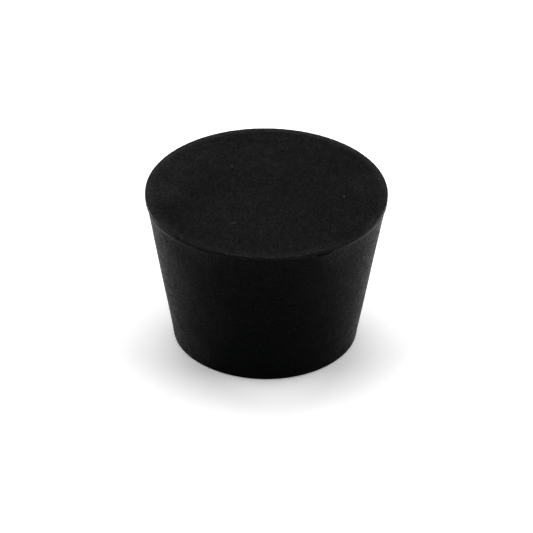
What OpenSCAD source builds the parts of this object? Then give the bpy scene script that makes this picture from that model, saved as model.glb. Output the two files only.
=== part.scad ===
// Solid rubber stopper: one compression-moulded plug with a plain taper,
// two flat ends, and a trimmed flash land around the rim of the wide end.
// Millimetres. The base lies on z = 0 and +Z runs up the axis of the taper.

/* [Body] */
// Diameter of the wide end, measured over the trimmed land
top_d = 37; // [30:0.5:60]
// Diameter of the narrow end, measured to the sharp corner
base_d = 28.3; // [15:0.1:36]
// Height from the base to the top face
height = 25; // [15:0.5:60]

/* [Edges] */
// Rounding between the base and the taper
base_edge_r = 0.3; // [0.1:0.05:1]
// Rounding that wear leaves on the cut corner of the top face
top_edge_r = 0.12; // [0.05:0.01:0.2]

/* [Flash land] */
// Thickness of the flash at the axis, from its underside to the top face
land_h = 0.8; // [0.5:0.05:1.5]
// Distance that the land stands out past the taper at its underside
land_ledge = 0.15; // [0.05:0.01:0.4]
// Angle of the mould's parting plane, which thins the flash at the front
land_tilt = 1; // [0:0.1:1]
// Distance of the trimming cut's axis from the axis of the taper
trim_shift = 0.04; // [0:0.01:0.05]
// Direction of that shift, counter-clockwise from +X
trim_shift_angle = -110; // [-180:5:180]

/* [Torn nick] */
// Direction of the nick, counter-clockwise from +X
nick_angle = -61; // [-180:1:180]
// Length of the nick around the rim
nick_length = 2.8; // [1:0.1:5]
// Opening of the nick below the underside of the flash
nick_opening = 0.3; // [0.1:0.05:0.8]
// Depth of the nick into the taper, just below the flash
nick_depth = 0.5; // [0.3:0.05:1.5]

/* [Hidden] */

$fn = 180;
clearance = 1;

top_r = top_d / 2;
base_r = base_d / 2;

// The taper is one straight line from the base corner to the ledge.
ledge_z = height - land_h;
ledge_r = top_r - land_ledge;
taper_slope = (ledge_r - base_r) / ledge_z;
taper_angle = atan(taper_slope);
taper_top_z = height + clearance;
taper_top_r = base_r + taper_slope * taper_top_z;

// The base rounding is tangent to the base and to the taper.
base_arc_x = base_r + base_edge_r * (tan(taper_angle) - 1 / cos(taper_angle));
arc_steps = 6;

// The tilt lifts the flash at the nick, and the nick's edge is an arc that crosses
// the round wall there at both of its ends.
nick_rise = -ledge_r * sin(nick_angle) * tan(land_tilt);
nick_wall_r = ledge_r + taper_slope * nick_rise;
nick_half = nick_length / 2;
wall_bulge = nick_wall_r - sqrt(nick_wall_r * nick_wall_r - nick_half * nick_half);
nick_bulge = nick_depth - wall_bulge;
nick_r = (nick_half * nick_half + nick_bulge * nick_bulge) / (2 * nick_bulge);
nick_centre = nick_wall_r - nick_depth + nick_r;
nick_fall = nick_r * nick_opening / nick_depth;

// Points along an arc, counter-clockwise between two directions.
function arc(x, z, r, from, to) = [
    for (i = [0:arc_steps])
    let (a = from + (to - from) * i / arc_steps)
    [x + r * cos(a), z + r * sin(a)]
];

// Half-section of the taper, with its rounded base corner.
module taper_section() {
    polygon(concat(
        [[0, 0]],
        arc(base_arc_x, base_edge_r, base_edge_r, -90, -taper_angle),
        [[taper_top_r, taper_top_z], [0, taper_top_z]]
    ));
}

// Half-section of what the trimming die leaves standing.
module trim_section() {
    polygon(concat(
        [[0, -clearance], [top_r, -clearance]],
        arc(top_r - top_edge_r, height - top_edge_r, top_edge_r, 0, 90),
        [[0, height]]
    ));
}

// Frame of the parting plane, with z = 0 on the underside of the flash.
module on_parting_plane() {
    translate([0, 0, ledge_z]) rotate([-land_tilt, 0, 0]) children();
}

// Flash before it is trimmed: a sheet wider than the land and thicker too.
module flash() {
    on_parting_plane() cylinder(h = land_h + 2 * clearance, r = top_r + clearance);
}

// Crevice that opens below the flash: flat on top, with a floor that falls outwards.
module torn_nick() {
    on_parting_plane()
    rotate([0, 0, nick_angle])
    translate([nick_centre, 0, 0])
    rotate_extrude()
    polygon([[0, -nick_fall], [nick_r, 0], [nick_r, land_h / 4], [0, land_h / 4]]);
}

module trimming_die() {
    rotate([0, 0, trim_shift_angle])
    translate([trim_shift, 0, 0])
    rotate_extrude()
    trim_section();
}

module stopper() {
    color("#1b1c1e")
    intersection() {
        union() {
            difference() {
                rotate_extrude() taper_section();
                torn_nick();
            }
            flash();
        }
        trimming_die();
    }
}

stopper();
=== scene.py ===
"""A solid black rubber stopper standing on its narrow end on a white bench.

Lengths are millimetres until the mesh is made, and Blender gets metres. The wide end is up and
the front of the stopper is towards -Y. Directions round the rim are degrees from +X towards +Y.
"""

import math
import random

import bpy
import numpy as np
from mathutils import Matrix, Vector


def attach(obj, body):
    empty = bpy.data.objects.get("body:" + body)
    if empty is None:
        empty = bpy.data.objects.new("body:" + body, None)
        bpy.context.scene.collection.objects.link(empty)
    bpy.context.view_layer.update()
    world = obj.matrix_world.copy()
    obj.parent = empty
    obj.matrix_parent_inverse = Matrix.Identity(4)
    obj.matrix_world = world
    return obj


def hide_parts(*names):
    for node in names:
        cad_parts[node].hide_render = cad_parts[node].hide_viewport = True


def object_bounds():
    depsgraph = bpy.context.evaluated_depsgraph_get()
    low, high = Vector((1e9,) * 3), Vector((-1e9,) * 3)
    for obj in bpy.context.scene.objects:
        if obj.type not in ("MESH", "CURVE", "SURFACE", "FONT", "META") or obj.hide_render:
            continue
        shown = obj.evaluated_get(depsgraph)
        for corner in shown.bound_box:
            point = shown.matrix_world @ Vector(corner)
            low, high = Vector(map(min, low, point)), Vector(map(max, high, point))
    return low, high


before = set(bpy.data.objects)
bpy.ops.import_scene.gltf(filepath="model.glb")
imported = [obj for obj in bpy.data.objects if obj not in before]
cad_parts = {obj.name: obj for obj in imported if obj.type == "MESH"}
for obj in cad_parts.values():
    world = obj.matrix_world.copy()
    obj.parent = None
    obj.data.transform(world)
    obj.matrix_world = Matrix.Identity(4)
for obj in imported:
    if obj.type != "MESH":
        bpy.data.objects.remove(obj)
cad_low, cad_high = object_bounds()

MM = 0.001
FULL_TURN = 2 * math.pi

# ---------------------------------------------------------------- sizes of the moulding

HEIGHT = cad_high.z / MM
BASE_EDGE_R = 0.3
BASE_R = 14.1
# Radius of the straight taper carried down to z = 0, and how fast it widens.
TAPER_R = 14.035
TAPER_SLOPE = 0.1781
# How far the foot swells out and over what height, how far the axis leans over the whole height,
# and how much the head swells out all round just below the flare and over what height.
FOOT_SWELL = 0.08
FOOT_HEIGHT = 0.5
LEAN = 0.04
HEAD_SWELL = 0.03
HEAD_HEIGHT = 1.8
# The dish in the underside, and how far and how deep the top face rolls off towards the rim.
BASE_DISH = 0.03
ROLL_OFF_WIDTH = 1.4
ROLL_OFF_DEPTH = 0.025

# The trimming die left a circle that sits slightly off the axis, as the frame's box shows. The
# skin stays a little inside that box.
CAD_MARGIN = 0.002
TRIM_X = (cad_low.x + cad_high.x) / 2 / MM
TRIM_Y = (cad_low.y + cad_high.y) / 2 / MM
TRIM_R = min(cad_high.x - cad_low.x, cad_high.y - cad_low.y) / 2 / MM - CAD_MARGIN

SEGMENTS = 1248
WALL_RINGS = 30
FLARE_RINGS = 9
LAND_SHARES = (0.05, 0.12, 0.2, 0.3, 0.45, 0.6, 0.75, 0.9)
CORNER_RINGS = 5
BASE_EDGE_RINGS = 4
# Rings of the underside: share of its radius, number of points.
BASE_RINGS = ((0.12, 78), (0.3, 156), (0.5, 312), (0.7, 624), (0.86, 624), (0.95, 1248), (1.0, 1248))
# Rings of the top face: how far in from the rim, number of points.
TOP_RINGS = [
    (0.1, 1248),
    (0.22, 1248),
    (0.4, 1248),
    (0.65, 1248),
    (1.0, 1248),
    (1.4, 624),
    (1.9, 624),
    (2.6, 624),
    (3.6, 624),
    (5.0, 312),
    (6.8, 312),
    (9, 156),
    (11.6, 156),
    (14.2, 78),
    (16.6, 39),
]
# How burnished the rings are near the ledge, which is ring 0, and so how much painted highlight they carry.
BURNISH_AND_HIGHLIGHT = {-7: 0.2, -6: 0.6, -5: 0.9, -4: 1.0, -3: 1.0, -2: 1.0, -1: 0.8, 0: 0.5, 1: 0.2}

# The trimmed edge, station by station round the rim. Direction; thickness of the flash; undercut
# of its cut face in degrees; height of the flare below it and how far the flare reaches out;
# radius of the top corner; how much bloom lies on the cut face; how burnished the flare is, which also sets
# its painted highlight.
RIM_STATIONS = [
    (0, 0.80, 1, 0.80, 0.12, 0.08, 0, 0),
    (-16, 0.66, 1, 0.80, 0.15, 0.06, 0, 0.2),
    (-24, 0.56, 1, 0.75, 0.17, 0.08, 0, 0.9),
    (-32, 0.52, 0, 0.60, 0.17, 0.12, 0, 1.6),
    (-40, 0.47, 0, 0.50, 0.15, 0.13, 0.2, 1.3),
    (-48, 0.44, 0, 0.50, 0.13, 0.12, 0.6, 0.15),
    (-56, 0.42, 0, 0.50, 0.14, 0.12, 0.9, 0.1),
    (-58, 0.48, 0, 0.50, 0.13, 0.12, 0.9, 0),
    (-60, 0.56, 0, 0.50, 0.12, 0.12, 0.9, 0),
    (-65, 0.60, 0, 0.40, 0.09, 0.12, 1.0, 0),
    (-68, 0.66, 0, 0.40, 0.07, 0.12, 1.1, 0),
    (-73, 0.60, 0, 0.25, 0.05, 0.13, 1.2, 0),
    (-80, 0.48, 0, 0.20, 0.03, 0.20, 1.4, 0),
    (-88, 0.46, 0, 0.20, 0.03, 0.18, 1.1, 0),
    (-98, 0.48, 0, 0.25, 0.03, 0.10, 0.8, 0),
    (-112, 0.52, 0, 0.40, 0.05, 0.06, 0.5, 0),
    (-120, 0.58, 0, 0.45, 0.08, 0.06, 0.5, 0.1),
    (-128, 0.60, 1, 0.50, 0.11, 0.06, 0.5, 0.2),
    (-136, 0.60, 1, 0.55, 0.12, 0.08, 0.4, 0.4),
    (-139, 0.64, 2, 0.55, 0.13, 0.11, 0.1, 0.5),
    (-144, 0.71, 2, 0.60, 0.15, 0.11, 0, 0.7),
    (-152, 0.88, 1, 0.65, 0.19, 0.11, 0, 0.8),
    (-160, 0.93, 1, 0.65, 0.13, 0.16, 0, 0.3),
    (-168, 0.95, 1, 0.70, 0.12, 0.14, 0, 0),
    (-180, 0.88, 1, 0.70, 0.10, 0.12, 0, 0),
    (-230, 1.00, 1, 0.65, 0.11, 0.12, 0.1, 0),
    (-290, 1.05, 1, 0.65, 0.11, 0.12, 0.1, 0),
    (-330, 0.95, 1, 0.70, 0.11, 0.10, 0, 0),
]
# Where the wall swells out a little below the flare: direction, width, how far it swells.
WALL_SWELLS = [(-45, 26, 0.10), (-24, 12, 0.05), (-124, 14, 0.06), (-141, 15, 0.09)]

# The torn nick under the flash, in two openings that run together: direction, length, height.
NICK_OPENINGS = [(-58.9, 1.6, 0.28), (-63.3, 2.0, 0.27)]
NICK_DEPTH = 0.5
# Below the nick the torn edge hangs down in a fold: its direction, width, drop and swell.
NICK_FOLD = (-61.2, 3.6, 0.42)
NICK_LIP = 0.12

# Small losses from the cut face and its corners: direction, width, depth.
LAND_PITS = [
    (-135.6, 0.42, 0.16),
    (-149.8, 0.5, 0.08),
    (-122, 0.5, 0.04),
    (-128.5, 0.45, 0.03),
    (-112, 0.6, 0.03),
]
CORNER_CHIPS = [
    (-72.5, 0.5, 0.06),
    (-68.3, 0.4, 0.05),
    (-108, 0.45, 0.05),
    (-136, 0.5, 0.08),
    (-33, 0.6, 0.04),
]

around = np.arange(SEGMENTS) * FULL_TURN / SEGMENTS


def ease(t):
    """Smooth step from 0 to 1."""
    t = np.clip(t, 0, 1)
    return t * t * (3 - 2 * t)


def rim_stations(column):
    """One column of the stations, run smoothly round the rim."""
    directions = [math.radians(station[0]) for station in RIM_STATIONS]
    return np.interp(around, directions, [station[column] for station in RIM_STATIONS], period=FULL_TURN)


def hump(degrees, width):
    """1 in one direction on the rim, falling smoothly to 0 over a width in millimetres."""
    away = (around - math.radians(degrees) + math.pi) % FULL_TURN - math.pi
    return ease(1 - np.abs(away) * TRIM_R * 2 / width)


def ripple(longest, shortest, seed):
    """Uneven wave round the rim, about -1 to 1, with wavelengths between two lengths."""
    draw = random.Random(seed)
    low = round(FULL_TURN * TRIM_R / longest)
    high = round(FULL_TURN * TRIM_R / shortest)
    total = np.zeros(SEGMENTS)
    waves = 14
    for _ in range(waves):
        total += np.cos(draw.randint(low, high) * around + draw.uniform(0, FULL_TURN))
    return total / math.sqrt(2 * waves)


def lumps(radius, height, size, seed):
    """Smooth random field over a ring, about -1 to 1, with lumps of a size."""
    draw = np.random.RandomState(seed)
    points = np.stack([radius * np.cos(around), radius * np.sin(around), height + 0 * around], axis=1)
    total = np.zeros(SEGMENTS)
    waves = 18
    for _ in range(waves):
        way = draw.normal(size=3)
        way *= FULL_TURN / (2 * size) / np.linalg.norm(way) * draw.uniform(0.6, 1.4)
        total += np.cos(points @ way + draw.uniform(0, FULL_TURN))
    return total / math.sqrt(waves)


# ---------------------------------------------------------------- the rings, from base to top

flash = rim_stations(1) + 0.03 * ripple(9, 2.5, 3) + 0.014 * ripple(2, 0.5, 4)
undercut = np.tan(np.radians(rim_stations(2)))
flare_h = rim_stations(3) * (1 + 0.12 * ripple(5, 1, 5))
flare_out = rim_stations(4) * (1 + 0.15 * ripple(6, 1, 8))
corner_r = rim_stations(5) * (1 + 0.2 * ripple(8, 1, 6))
bloomed = rim_stations(6)
burnished_and_highlit = rim_stations(7)
pit = sum(depth * hump(degrees, width) for degrees, width, depth in LAND_PITS)
chip = sum(depth * hump(degrees, width) for degrees, width, depth in CORNER_CHIPS)
opening = sum(height * hump(degrees, length) for degrees, length, height in NICK_OPENINGS)
torn = ease(opening / 0.12)
fold = NICK_FOLD[2] * hump(*NICK_FOLD[:2])
swell = HEAD_SWELL + sum(out * hump(degrees, width) for degrees, width, out in WALL_SWELLS)

rim_r = TRIM_R + TRIM_X * np.cos(around) + TRIM_Y * np.sin(around)
rim_r = rim_r - 0.006 * (1 - ripple(40, 12, 7)) / 2
ledge_z = HEIGHT - flash


def wall_r(height):
    """Radius of the side at a height: a straight taper that widens at its foot and leans a little."""
    taper = TAPER_R + TAPER_SLOPE * height
    foot = FOOT_SWELL * np.exp(-height / FOOT_HEIGHT)
    head = swell * np.exp((height - ledge_z) / HEAD_HEIGHT)
    broad = 0.018 * lumps(taper, height, 9, 11)
    small = 0.006 * lumps(taper, height, 2.2, 12)
    lean = -LEAN * (1 - height / HEIGHT) * np.cos(around)
    return taper + foot + head + broad + small + lean


def edge_drop(radius):
    """How far the top face has sunk at a radius: it rolls off towards the rim."""
    share = (radius - (TRIM_R - ROLL_OFF_WIDTH)) / ROLL_OFF_WIDTH
    return ROLL_OFF_DEPTH * np.clip(share, 0, 1) ** 2


def base_rings():
    """The flat underside, very slightly dished, from near its centre outwards."""
    flat_r = BASE_R - BASE_EDGE_R
    rings = []
    for share, count in BASE_RINGS:
        dish = BASE_DISH * (1 - share**4)
        rings.append((count, flat_r * share + 0 * around, dish + 0 * around))
    return rings


def base_edge_rings():
    """The rounded edge between the underside and the wall."""
    lean = math.atan(TAPER_SLOPE)
    centre_r = BASE_R + BASE_EDGE_R * (math.tan(lean) - 1 / math.cos(lean))
    waves = wall_r(BASE_EDGE_R) - (BASE_R + TAPER_SLOPE * BASE_EDGE_R)
    rings = []
    for step in range(1, BASE_EDGE_RINGS + 1):
        share = step / (BASE_EDGE_RINGS + 1)
        turn = -math.pi / 2 + (math.pi / 2 - lean) * share
        radius = centre_r + BASE_EDGE_R * math.cos(turn) + waves * share
        rings.append((radius, BASE_EDGE_R * (1 + math.sin(turn)) + 0 * around))
    return rings


def wall_rings(flare_z):
    """The taper, with its rings closer together near the flare."""
    rings = []
    for step in range(WALL_RINGS):
        share = step / (WALL_RINGS - 1)
        share = 0.6 * share + 0.4 * (1 - (1 - share) ** 2.4)
        height = BASE_EDGE_R + (flare_z - BASE_EDGE_R) * share
        rings.append((wall_r(height), height))
    return rings


def on_path(path, share):
    """Height and radius at a share of a path, which is a list of share, height and radius."""
    for (start, start_z, start_r), (end, end_z, end_r) in zip(path, path[1:]):
        if start < share <= end:
            way = (share - start) / (end - start)
            return start_z + (end_z - start_z) * way, start_r + (end_r - start_r) * way


def flare_rings(flare_z, land_r):
    """The wall flares out to the cut face, or where the rubber tore it turns into the nick."""
    depth = NICK_DEPTH * torn * (1 + 0.2 * ripple(2, 0.5, 21))
    lip_z = ledge_z - opening
    swelling_z = (flare_z + lip_z - fold) / 2
    path = [
        (0.0, flare_z, wall_r(flare_z)),
        (0.25, swelling_z, wall_r(swelling_z) + 0.25 * NICK_LIP),
        (0.45, lip_z - fold, wall_r(lip_z - fold) + NICK_LIP),
        (0.6, lip_z, wall_r(lip_z) - 0.04),
        (0.8, ledge_z - 0.1 * opening, wall_r(ledge_z) - depth),
        (1.0, ledge_z, land_r),
    ]
    rings = []
    for step in range(1, FLARE_RINGS + 1):
        share = step / FLARE_RINGS
        sound_z = flare_z + (ledge_z - flare_z) * share
        sound_r = wall_r(sound_z) + flare_out * share**1.5
        if step == FLARE_RINGS:
            sound_r = land_r
        sound_r = np.minimum(sound_r, land_r)
        torn_z, torn_r = on_path(path, share)
        torn_r = np.minimum(torn_r, land_r)
        rings.append((sound_r + (torn_r - sound_r) * torn, sound_z + (torn_z - sound_z) * torn))
    return rings


def land_rings(land_r, corner_z):
    """The face that the trimming die cut, from its ragged lower lip to the top corner."""
    rings = []
    for share in LAND_SHARES:
        height = ledge_z + (corner_z - ledge_z) * share
        radius = land_r + (rim_r - land_r) * share
        rough = 0.010 * lumps(radius, height, 0.4, 31) + 0.012 * lumps(radius, height, 1.2, 32)
        dent = pit * ease(share / 0.3) * (1.3 - 0.6 * share)
        rings.append((np.minimum(radius + rough - 0.008 - dent, rim_r), height))
    return rings


def corner_rings(corner_z):
    """The worn corner between the cut face and the top face."""
    rings = []
    for step in range(CORNER_RINGS + 1):
        turn = math.pi / 2 * step / CORNER_RINGS
        radius = rim_r - corner_r * (1 - math.cos(turn)) - 0.5 * pit * math.cos(turn)
        rings.append((radius, corner_z + corner_r * math.sin(turn) - chip * math.sin(turn)))
    return rings


def top_rings():
    """The top face, from the corner inwards to near its centre."""
    face_r = rim_r - corner_r
    rings = []
    for inset, count in TOP_RINGS:
        radius = face_r * (1 - inset / TRIM_R)
        sunk = 0.012 + 0.008 * lumps(radius, HEIGHT, 6, 41) + 0.003 * lumps(radius, HEIGHT, 1.6, 42)
        sunk = np.maximum(sunk, 0) * ease(inset / 1.5) + chip * ease(1 - inset / 0.5)
        rings.append((count, radius, HEIGHT - edge_drop(radius) - sunk))
    return rings


# ---------------------------------------------------------------- the mesh and its flat pattern

# The skin is laid out flat in a square: three strips of side, then the top and the base as discs.
STRIPS = 3
STRIP_SEGMENTS = SEGMENTS // STRIPS
BACK_SEGMENT = SEGMENTS // 4
PATTERN_SIZE = 82.5
PATTERN_GAP = 0.7
PATTERN_MARGIN = 0.002
TOP_DISC = (58.8, 19.0)
BASE_DISC = (54.6, 53.2)
# What each point of the skin tells the rubber's finish.
FINISHES = ("top_face", "corner", "cut", "cut_bloom", "burnish_and_highlight")


class Skin:
    """The closed surface as it grows: its points, its faces and each face corner's place laid flat."""

    def __init__(self, side_length):
        self.side_length = side_length
        self.points = []
        self.faces = []
        self.flat = []
        self.finishes = []

    def ring(self, count, radius, height, top_face=0.0, corner=0.0, cut=0.0, burnish_and_highlight=0.0):
        """Adds a ring of points and returns their numbers."""
        every = SEGMENTS // count
        angles, radius, height = around[::every], radius[::every], height[::every]
        first = len(self.points)
        self.points += np.stack([radius * np.cos(angles), radius * np.sin(angles), height], axis=1).tolist()
        for bloom, polish_and_highlight in zip(bloomed[::every].tolist(), burnished_and_highlit[::every].tolist()):
            self.finishes.append((top_face, corner, cut, cut * bloom, burnish_and_highlight * polish_and_highlight))
        return list(range(first, first + count))

    def centre(self, height, top_face):
        """Adds the point in the middle of a disc."""
        self.points.append([0.0, 0.0, height])
        self.finishes.append((top_face, 0.0, 0.0, 0.0, 0.0))
        return len(self.points) - 1

    def side_band(self, lower, upper, low_v, high_v):
        """Joins two rings of the side and lays the band on its strips of the pattern."""
        step = FULL_TURN * TRIM_R / SEGMENTS
        for i in range(SEGMENTS):
            j = (i + 1) % SEGMENTS
            self.faces.append((lower[i], lower[j], upper[j], upper[i]))
            strip, place = divmod((i - BACK_SEGMENT) % SEGMENTS, STRIP_SEGMENTS)
            left, right = place * step, (place + 1) * step
            shelf = strip * (self.side_length + PATTERN_GAP)
            low, high = shelf + low_v, shelf + high_v
            self.flat += [(left, low), (right, low), (right, high), (left, high)]

    def disc_band(self, lower, upper, lay):
        """Joins two rings of a disc, where one may have twice the points of the other."""
        count = min(len(lower), len(upper))
        faces = []
        for i in range(count):
            j = (i + 1) % count
            if len(lower) == len(upper):
                faces.append((lower[i], lower[j], upper[j], upper[i]))
            elif len(lower) < len(upper):
                a, b, c = upper[2 * i], upper[2 * i + 1], upper[2 * j]
                faces += [(lower[i], b, a), (lower[i], lower[j], b), (lower[j], c, b)]
            else:
                a, b, c = lower[2 * i], lower[2 * i + 1], lower[2 * j]
                faces += [(a, b, upper[i]), (b, upper[j], upper[i]), (b, c, upper[j])]
        self.lay_down(faces, lay)

    def fan(self, ring, hub, facing_up, lay):
        """Closes a disc at its centre."""
        faces = []
        for here, there in zip(ring, ring[1:] + ring[:1]):
            faces.append((here, there, hub) if facing_up else (there, here, hub))
        self.lay_down(faces, lay)

    def lay_down(self, faces, lay):
        """Adds faces and lays their corners on the pattern."""
        self.faces += faces
        self.flat += [lay(self.points[number]) for face in faces for number in face]


def on_base_disc(point):
    """Where a point of the base lies on the pattern, seen from below."""
    return BASE_DISC[0] - point[0], BASE_DISC[1] + point[1]


def on_top_disc(point):
    """Where a point of the top face lies on the pattern."""
    return TOP_DISC[0] + point[0], TOP_DISC[1] + point[1]


def profile_lengths(rings):
    """How far each ring lies along the side's profile, on average round the rim."""
    lengths = [0.0]
    for (radius, height), (next_radius, next_height) in zip(rings, rings[1:]):
        lengths.append(lengths[-1] + float(np.hypot(next_radius - radius, next_height - height).mean()))
    return lengths


def stopper_mesh():
    """One closed skin: the base, the taper, the flare, the cut face and the top face."""
    corner_z = HEIGHT - edge_drop(rim_r) - corner_r
    land_r = rim_r - undercut * (corner_z - ledge_z) - 0.012 + 0.010 * ripple(3, 0.6, 53)
    flare_z = ledge_z - np.maximum(flare_h, opening + fold + 0.4 * torn)
    base = base_rings()
    side = base_edge_rings() + wall_rings(flare_z) + flare_rings(flare_z, land_r)
    side += land_rings(land_r, corner_z)
    corner = corner_rings(corner_z)
    top = top_rings()

    profile = [base[-1][1:]] + side + corner
    lengths = profile_lengths(profile)
    skin = Skin(lengths[-1])

    rings = [skin.ring(*ring) for ring in base]
    hub = skin.centre(float(base[0][2][0]), 0.0)
    skin.fan(rings[0], hub, False, on_base_disc)
    for lower, upper in zip(rings, rings[1:]):
        skin.disc_band(lower, upper, on_base_disc)

    lower = rings[-1]
    first_corner = len(profile) - CORNER_RINGS - 1
    first_land = first_corner - len(LAND_SHARES)
    for number, (radius, height) in enumerate(profile[1:], start=1):
        turned = max(0, number - first_corner) / CORNER_RINGS
        flared = np.clip((number - first_land + FLARE_RINGS) / FLARE_RINGS, 0, 1) ** 2
        cut = 1 - turned if number >= first_land else 0.8 * float(flared)
        burnish_and_highlight = BURNISH_AND_HIGHLIGHT.get(number - first_land + 1, 0.0)
        upper = skin.ring(SEGMENTS, radius, height, turned, min(1.0, 2 * turned), cut, burnish_and_highlight)
        skin.side_band(lower, upper, lengths[number - 1], lengths[number])
        lower = upper

    for ring in top:
        upper = skin.ring(*ring, 1.0, 0.0)
        skin.disc_band(lower, upper, on_top_disc)
        lower = upper
    hub = skin.centre(float(top[-1][2].mean()), 1.0)
    skin.fan(lower, hub, True, on_top_disc)

    mesh = bpy.data.meshes.new("rubber_stopper")
    mesh.from_pydata((np.array(skin.points) * MM).tolist(), [], skin.faces)
    mesh.shade_smooth()
    for name, values in zip(FINISHES, zip(*skin.finishes)):
        mesh.attributes.new(name, "FLOAT", "POINT").data.foreach_set("value", values)
    flat = mesh.uv_layers.new(name="OFBake")
    flat.data.foreach_set("uv", (np.array(skin.flat) / PATTERN_SIZE + PATTERN_MARGIN).ravel())
    return mesh


# ---------------------------------------------------------------- finishes


class Wire:
    """A node's output that adds, multiplies and compares like a number."""

    def __init__(self, nodes, socket):
        self.nodes = nodes
        self.socket = socket

    def maths(self, operation, *terms):
        return self.nodes.node("ShaderNodeMath", {"operation": operation}, dict(enumerate(terms)))

    def __add__(self, other):
        return self.maths("ADD", self, other)

    __radd__ = __add__

    def __mul__(self, other):
        return self.maths("MULTIPLY", self, other)

    __rmul__ = __mul__

    def __sub__(self, other):
        return self.maths("SUBTRACT", self, other)

    def __rsub__(self, other):
        return self.maths("SUBTRACT", other, self)

    def __truediv__(self, other):
        return self.maths("DIVIDE", self, other)

    def __pow__(self, other):
        return self.maths("POWER", self, other)

    def __abs__(self):
        return self.maths("ABSOLUTE", self)

    def most(self, other):
        return self.maths("MAXIMUM", self, other)

    def least(self, other):
        return self.maths("MINIMUM", self, other)

    def angle_to(self, other):
        return self.maths("ARCTAN2", self, other)

    def ramp(self, low, high):
        """0 below low, 1 above high and smooth between them. It falls where low is above high."""
        limits = {"Value": self, "From Min": low, "From Max": high}
        return self.nodes.node("ShaderNodeMapRange", {"interpolation_type": "SMOOTHSTEP"}, limits)


class Nodes:
    """The nodes of a material or of the world."""

    def __init__(self, owner):
        owner.use_nodes = True
        self.owner = owner
        self.tree = owner.node_tree
        self.tree.nodes.clear()

    def node(self, kind, settings=None, sockets=None, out=0):
        """Adds a node: its type, its settings, then the values or links of its sockets."""
        made = self.tree.nodes.new(kind)
        for name, value in (settings or {}).items():
            setattr(made, name, value)
        for key, value in (sockets or {}).items():
            if isinstance(value, Wire):
                self.tree.links.new(value.socket, made.inputs[key])
            else:
                made.inputs[key].default_value = value
        return Wire(self, made.outputs[out]) if made.outputs else None

    def vector(self, operation, *terms):
        return self.node("ShaderNodeVectorMath", {"operation": operation}, dict(enumerate(terms)))

    def place(self):
        """Where a point of the object lies, in millimetres."""
        coordinates = self.node("ShaderNodeTexCoord", out="Object")
        return self.vector("MULTIPLY", coordinates, (1 / MM, 1 / MM, 1 / MM))

    def parts(self, vector):
        """The three numbers of a vector."""
        first = self.node("ShaderNodeSeparateXYZ", None, {0: vector})
        return [Wire(self, socket) for socket in first.socket.node.outputs]

    def noise(self, place, size, detail=2.0, harshness=0.5, shift=0.0):
        """Cloudy noise from 0 to 1, with clouds of a size in millimetres."""
        moved = self.vector("ADD", place, (shift, shift, shift))
        sockets = {"Vector": moved, "Scale": 1 / size, "Detail": detail, "Roughness": harshness}
        return self.node("ShaderNodeTexNoise", None, sockets)

    def dots(self, place, spacing, radius, share, shift):
        """Scattered round specks: 1 inside a speck. Only a share of the cells has one."""
        moved = self.vector("ADD", place, (shift, shift, shift))
        cell = self.node("ShaderNodeTexVoronoi", None, {"Vector": moved, "Scale": 1 / spacing})
        pick = self.parts(Wire(self, cell.socket.node.outputs["Color"]))
        size = radius / spacing * (0.6 + 0.6 * pick[1])
        chosen = pick[0].ramp(0.99 - share, 1.01 - share)
        return (cell / size).ramp(1.15, 0.6) * chosen * (0.3 + 0.7 * pick[2])

    def attribute(self, name):
        return self.node("ShaderNodeAttribute", {"attribute_name": name}, out="Fac")

    def fleck(self, across, up, radius):
        """A round mark where across and up are 0."""
        return (across * across + up * up).ramp(1.2 * radius**2, 0.3 * radius**2)

    def haze(self, across, up, radius):
        """A soft round patch where across and up are 0."""
        return (across * across + up * up).ramp(radius**2, 0)

    def fibre(self, across, up, bend, facing, half_length, width):
        """A thin mark on a circle of radius bend. Its middle is where across and up are 0."""
        facing = math.radians(facing)
        across = across + bend * math.cos(facing)
        up = up + bend * math.sin(facing)
        reach = (across * across + up * up) ** 0.5
        along = (across * math.cos(facing) + up * math.sin(facing)) / reach
        sweep = half_length / bend
        line = abs(reach - bend).ramp(width, 0.3 * width)
        return line * along.ramp(math.cos(1.1 * sweep), math.cos(0.9 * sweep))


# Flecks of dust on the top face: x, y, radius, brightness.
TOP_FLECKS = [
    (-5.4, -0.8, 0.13, 0.030),
    (-7.3, 14.1, 0.10, 0.024),
    (3.1, 15.4, 0.12, 0.030),
    (-9.2, -9.2, 0.10, 0.018),
    (-8.5, -9.5, 0.09, 0.014),
    (-8.4, -10.1, 0.08, 0.014),
    (0.8, 1.5, 0.12, 0.018),
    (1.0, -6.4, 0.10, 0.018),
    (-5.2, -14.2, 0.12, 0.022),
    (6.6, -16.4, 0.14, 0.030),
    (8.3, -15.3, 0.12, 0.024),
    (-2.7, -2.6, 0.09, 0.012),
]
# Lint on the top face: x, y, bend, facing in degrees, half its length, width, brightness.
TOP_LINT = [
    (-5.4, 7.2, 0.4, 190, 0.55, 0.10, 0.024),
    (-5.1, -8.9, 0.7, 95, 0.60, 0.11, 0.026),
    (11.8, -1.2, 1.4, 10, 0.32, 0.12, 0.034),
    (-10.6, 9.4, 2.0, 130, 0.60, 0.09, 0.014),
    (-9.9, 10.0, 3.0, 40, 0.50, 0.09, 0.012),
    (-12.1, 6.7, 1.8, 60, 0.45, 0.09, 0.014),
    (5.4, -5.4, 0.8, 150, 0.70, 0.08, 0.008),
    (-9.5, 4.0, 60, 40, 3.60, 0.10, 0.003),
    (-8.9, -9.8, 1.0, 250, 0.70, 0.09, 0.012),
]
# Flecks on the side: degrees round the side, height, radius, brightness.
SIDE_FLECKS = [
    (-40.0, 2.1, 0.22, 0.030),
    (-128.5, 11.3, 0.15, 0.012),
    (-62.0, 17.0, 0.10, 0.008),
    (-70.8, 6.4, 0.10, 0.008),
    (-98.7, 6.1, 0.10, 0.010),
    (-79.0, 9.7, 0.10, 0.006),
    (-97.8, 17.9, 0.09, 0.006),
    (-52.5, 16.2, 0.10, 0.010),
]
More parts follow.
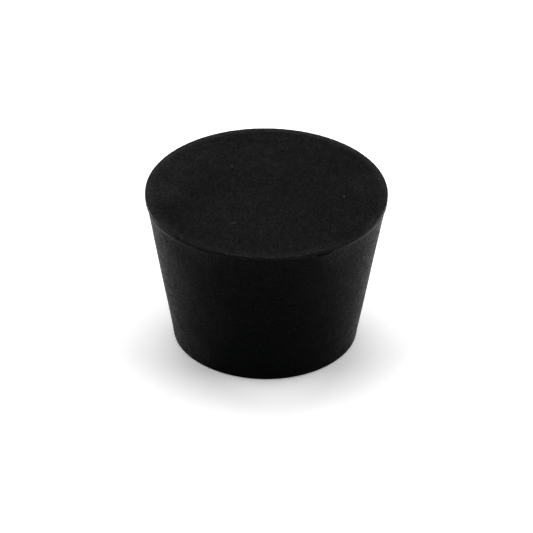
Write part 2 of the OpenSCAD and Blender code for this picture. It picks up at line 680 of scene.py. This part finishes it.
# Lint on the side: degrees, height, bend, facing in degrees, half its length, width, brightness.
SIDE_LINT = [
    (-88.4, 22.4, 5.0, 30, 0.95, 0.09, 0.006),
    (-88.0, 20.6, 2.0, 320, 0.45, 0.09, 0.005),
    (-91.5, 23.3, 0.5, 90, 0.50, 0.10, 0.006),
]
# Patches where the bloom on the top face is heavier or lighter: x, y, radius, change.
BLOOM_PATCHES = [
    (-16.5, 3.5, 7.0, 1.6),
    (-16.5, -0.5, 4.5, 2.8),
    (-16.0, 7.5, 4.0, 1.4),
    (-12.0, 11.0, 5.5, 1.0),
    (15.8, 2.5, 4.5, 1.6),
    (-2.0, 8.0, 6.0, 0.4),
    (-8.4, 0.0, 4.5, -0.8),
    (4.8, 2.0, 6.5, -0.8),
    (9.6, -4.5, 6.0, -0.8),
    (-12.7, -6.2, 4.5, -0.5),
    (11.5, 8.0, 4.5, -0.8),
    (12.6, -11.5, 3.5, -0.8),
    (-1.0, -14.5, 3.5, -0.4),
]
# Bloom on the side: degrees round the side, height, radius, amount.
SIDE_BLOOM = [
    (-52.0, 24.5, 4.5, 0.008),
    (-43.0, 20.0, 6.0, 0.002),
    (-36.0, 24.5, 3.0, 0.006),
    (-137.0, 2.5, 4.5, 0.005),
    (-128.0, 10.0, 7.0, 0.0016),
    (-122.0, 24.0, 4.0, 0.003),
    (-145.0, 16.0, 6.0, 0.0045),
]


def uneven(noise, gain):
    """Turns noise round 0.5 into a factor round 1 that never goes below 0."""
    return (1 + gain * (noise - 0.5)).most(0)


# How pale each thing on the skin is, as a base colour. The side grows paler with its height: its darker foot
# is painted shade.
TOP_GREY = 0.0052
TOP_BLOOM_GREY = 0.0011
SIDE_GREY_IN_FOOT_SHADE = 0.0002
SIDE_GREY_GAIN_ABOVE_SHADE = 0.0022
SIDE_GRAIN_AT_FOOT = 0.0002
SIDE_GRAIN_GAIN = 0.0008
CUT_BLOOM_GREY = 0.007
# Painted sheen on the band just inside the top face's rim.
RIM_SHEEN_GREY = 0.008
SCUFFED_GREY = 0.010
# Painted highlight on the burnished flare below the cut face.
LIP_HIGHLIGHT_GREY = 0.022
FINE_DUST_GREY = 0.019
COARSE_DUST_GREY = 0.03
# How much bluer than grey the side and the top face are.
SIDE_TINT = 0.0005
TOP_TINT = 0.00025
SIDE_ROUGHNESS = 0.42
TOP_ROUGHNESS = 0.82
REFLECTION_LEVEL = 0.0172


def side_offset(turn, z, degrees, height):
    """How far a point of the side lies across and up from a direction and a height."""
    across = (turn - math.radians(degrees)) * (TAPER_R + TAPER_SLOPE * height)
    return across, z - height


def bloom_on_top(rubber, x, y):
    """How heavy the bloom on the top face is: 1 where it is ordinary, never below 0."""
    bloom = 1
    for patch_x, patch_y, radius, change in BLOOM_PATCHES:
        bloom = bloom + change * rubber.haze(x - patch_x, y - patch_y, radius)
    return bloom.most(0)


def film_on_side(rubber, turn, z):
    """The paler film on parts of the side."""
    film = 0
    for degrees, height, radius, amount in SIDE_BLOOM:
        film = film + amount * rubber.haze(*side_offset(turn, z, degrees, height), radius)
    return film


def marks_on_top(rubber, x, y):
    """The flecks and the lint on the top face."""
    marks = 0
    for mark_x, mark_y, radius, brightness in TOP_FLECKS:
        marks = marks + brightness * rubber.fleck(x - mark_x, y - mark_y, radius)
    for mark_x, mark_y, bend, facing, half_length, width, brightness in TOP_LINT:
        fibre = rubber.fibre(x - mark_x, y - mark_y, bend, facing, half_length, width)
        marks = marks + brightness * fibre
    return marks


def marks_on_side(rubber, turn, z):
    """The flecks and the lint on the side."""
    marks = 0
    for degrees, height, radius, brightness in SIDE_FLECKS:
        marks = marks + brightness * rubber.fleck(*side_offset(turn, z, degrees, height), radius)
    for degrees, height, bend, facing, half_length, width, brightness in SIDE_LINT:
        offset = side_offset(turn, z, degrees, height)
        marks = marks + brightness * rubber.fibre(*offset, bend, facing, half_length, width)
    return marks


def black_rubber():
    """Matt vulcanised rubber: near-black and finely grained, with bloom, dust and lint on its skin, painted
    shade at the side's foot, painted sheen on the top face's rim and a painted highlight on the flare.
    """
    rubber = Nodes(bpy.data.materials.new("black_rubber"))
    place = rubber.place()
    x, y, z = rubber.parts(place)
    turn = y.angle_to(x)
    risen = z / HEIGHT
    inset = TRIM_R - ((x - TRIM_X) ** 2 + (y - TRIM_Y) ** 2) ** 0.5
    top, corner, cut, cut_bloom, burnish_and_highlight = [rubber.attribute(name) for name in FINISHES]
    side = 1 - top

    drawn = rubber.vector("MULTIPLY", place, (1.0, 0.7, 1.0))
    grain = rubber.noise(drawn, 0.26, 4.0, 0.8)
    fine = rubber.noise(drawn, 0.15, 2.0, 0.6, 90)
    cloth = rubber.noise(place, 1.1, 4.0, 0.6, 20)
    clouds = rubber.noise(place, 7.0, 3.0, 0.5, 50)
    sparse = 8.5 * fine.ramp(0.52, 0.68)
    clouded = uneven(cloth, 2) * uneven(clouds, 1)
    mottled = uneven(fine, 4.6) * uneven(cloth, 0.8) * uneven(clouds, 0.6)

    bloom = bloom_on_top(rubber, x, y)
    film = film_on_side(rubber, turn, z) * side * (1 - cut**3) * (0.45 + 0.55 * sparse)
    # Painted sheen: a paler band just inside the top face's rim, strongest towards the back and weakest at
    # the front.
    sheen_towards_back = y.ramp(-17, -8).most(0.45) + 0.6 * y.ramp(3, 9)
    rim_sheen_band = top * inset.ramp(1.6, 0.2) * sheen_towards_back * (0.2 + 1.6 * cloth)
    scuffed = corner * rubber.noise(place, 0.6, 3.0, 0.7, 80).ramp(0.42, 0.62)
    dust = FINE_DUST_GREY * rubber.dots(place, 0.42, 0.09, 0.6, 3)
    dust = dust + COARSE_DUST_GREY * rubber.dots(place, 1.9, 0.10, 0.2, 9)
    dirt = top * (dust + marks_on_top(rubber, x, y))
    dirt = dirt + side * (0.85 * dust + marks_on_side(rubber, turn, z))

    # The side's grey with painted shade: darker towards the foot, paler with height.
    side_grey_and_foot_shade = (SIDE_GREY_IN_FOOT_SHADE + SIDE_GREY_GAIN_ABOVE_SHADE * risen**2) * clouded
    side_grey_and_foot_shade = side_grey_and_foot_shade + (SIDE_GRAIN_AT_FOOT + SIDE_GRAIN_GAIN * risen) * (sparse - 1)
    tone = side_grey_and_foot_shade.most(0) * side + (TOP_GREY + TOP_BLOOM_GREY * bloom) * top * mottled
    tone = tone + CUT_BLOOM_GREY * cut_bloom * uneven(grain, 4) + film
    tone = tone + RIM_SHEEN_GREY * rim_sheen_band * bloom.least(1) * (0.4 + 1.2 * grain)
    # The paler flare below the cut face is a painted highlight; its lower roughness is real burnish.
    tone = tone + SCUFFED_GREY * scuffed + LIP_HIGHLIGHT_GREY * burnish_and_highlight + dirt
    cool = (SIDE_TINT + (TOP_TINT - SIDE_TINT) * top) * clouded * (0.4 + 0.6 * sparse)
    colour = rubber.node("ShaderNodeCombineColor", None, {0: tone, 1: tone + 0.5 * cool, 2: tone + cool})

    rough = SIDE_ROUGHNESS + (TOP_ROUGHNESS - SIDE_ROUGHNESS) * top + 6 * dirt
    rough = rough + 1.0 * (0.5 - grain) + 0.4 * (0.5 - cloth)
    rough = rough + 0.06 * rim_sheen_band - 0.12 * (cut - cut_bloom) - 0.2 * burnish_and_highlight
    relief = (0.06 - 0.03 * top) * grain + 0.025 * cloth + 0.3 * dirt
    normal = rubber.node("ShaderNodeBump", None, {"Strength": 1.0, "Distance": MM, "Height": relief})
    sockets = {"Base Color": colour, "Roughness": rough, "Normal": normal}
    sockets["Specular IOR Level"] = REFLECTION_LEVEL
    shader = rubber.node("ShaderNodeBsdfPrincipled", None, sockets)
    rubber.node("ShaderNodeOutputMaterial", None, {"Surface": shader})
    return rubber.owner


# ---------------------------------------------------------------- bench, light and camera

# Light from all round, and how much more of the light on it the bench sends to the eye.
AMBIENT = 0.15
BENCH_EXTRA = 0.35
# How light the bench is to the light that bounces off it, and to the eye.
BENCH_BOUNCE = (0.6, 0.6, 0.6, 1)
BENCH_WHITE = (1.0, 1.0, 1.0, 1)
# Half the bench's width, in metres.
BENCH_HALF = 3
# The soft lamps: direction, elevation, distance in metres, width in metres, power in watts.
SOFTBOXES = {
    "left_softbox": (186, 45, 0.9, 0.76, 3.3),
    "right_softbox": (2, 44, 0.9, 0.88, 4.25),
    "back_softbox": (96, 64, 0.9, 0.76, 4.6),
}


def seen_directly(nodes):
    """1 where the eye, a reflection or a view through glass meets a surface."""
    seen = nodes.node("ShaderNodeLightPath", out="Is Camera Ray")
    for ray in ("Is Glossy Ray", "Is Transmission Ray"):
        seen = seen.most(nodes.node("ShaderNodeLightPath", out=ray))
    return seen


def white_bench():
    """Bench top: white to the eye and in reflections, and it keeps the stopper's shadow."""
    bench = Nodes(bpy.data.materials.new("white_bench"))
    seen = seen_directly(bench)
    sockets = {0: seen, 6: BENCH_BOUNCE, 7: BENCH_WHITE}
    colour = bench.node("ShaderNodeMix", {"data_type": "RGBA"}, sockets, out=2)
    matt = bench.node("ShaderNodeBsdfDiffuse", None, {"Color": colour})
    extra = bench.node("ShaderNodeCombineColor", None, {channel: BENCH_EXTRA * seen for channel in range(3)})
    white = bench.node("ShaderNodeBsdfDiffuse", None, {"Color": extra})
    shader = bench.node("ShaderNodeAddShader", None, {0: matt, 1: white})
    bench.node("ShaderNodeOutputMaterial", None, {"Surface": shader})
    return bench.owner


def add_bench(size):
    corners = [(-size, -size, 0), (size, -size, 0), (size, size, 0), (-size, size, 0)]
    mesh = bpy.data.meshes.new("bench")
    mesh.from_pydata(corners, [], [(0, 1, 2, 3)])
    mesh.materials.append(white_bench())
    bench = bpy.data.objects.new("bench", mesh)
    bpy.context.scene.collection.objects.link(bench)


def add_softbox(name, direction, elevation, distance, size, power):
    """A round soft lamp that shines on the stopper."""
    direction, elevation = math.radians(direction), math.radians(elevation)
    out = distance * math.cos(elevation)
    lamp = bpy.data.lights.new(name, "AREA")
    lamp.shape = "DISK"
    lamp.size = size
    lamp.energy = power
    box = bpy.data.objects.new(name, lamp)
    box.location = (out * math.cos(direction), out * math.sin(direction), distance * math.sin(elevation))
    box.rotation_euler = box.location.to_track_quat("Z", "Y").to_euler()
    bpy.context.scene.collection.objects.link(box)


def add_studio():
    """Soft light from all round, and white where it is seen."""
    studio = Nodes(bpy.data.worlds.new("studio"))
    strength = seen_directly(studio) * (1 - AMBIENT) + AMBIENT
    back = studio.node("ShaderNodeBackground", None, {"Color": (1, 1, 1, 1), "Strength": strength})
    studio.node("ShaderNodeOutputWorld", None, {"Surface": back})
    bpy.context.scene.world = studio.owner


def add_camera():
    """A long lens above the front of the stopper, turned a little as it was held."""
    elevation = math.radians(33.01)
    roll = math.radians(0.55)
    distance = 0.925
    aim = (0.0001, 0, 0.0114)
    data = bpy.data.cameras.new("camera")
    data.lens = 407.4
    data.sensor_width = 36
    data.clip_start, data.clip_end = 0.05, 20
    camera = bpy.data.objects.new("camera", data)
    stand = (aim[0], aim[1] - distance * math.cos(elevation), aim[2] + distance * math.sin(elevation))
    tilt = Matrix.Rotation(math.pi / 2 - elevation, 4, "X") @ Matrix.Rotation(roll, 4, "Z")
    camera.matrix_world = Matrix.Translation(stand) @ tilt
    bpy.context.scene.collection.objects.link(camera)
    bpy.context.scene.camera = camera


mesh = stopper_mesh()
mesh.materials.append(black_rubber())
stopper = bpy.data.objects.new("rubber_stopper", mesh)
bpy.context.scene.collection.objects.link(stopper)
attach(stopper, "root")
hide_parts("stopper")

add_bench(BENCH_HALF)
for lamp_name, lamp_values in SOFTBOXES.items():
    add_softbox(lamp_name, *lamp_values)
add_studio()
add_camera()
bpy.context.scene.view_settings.view_transform = "Standard"
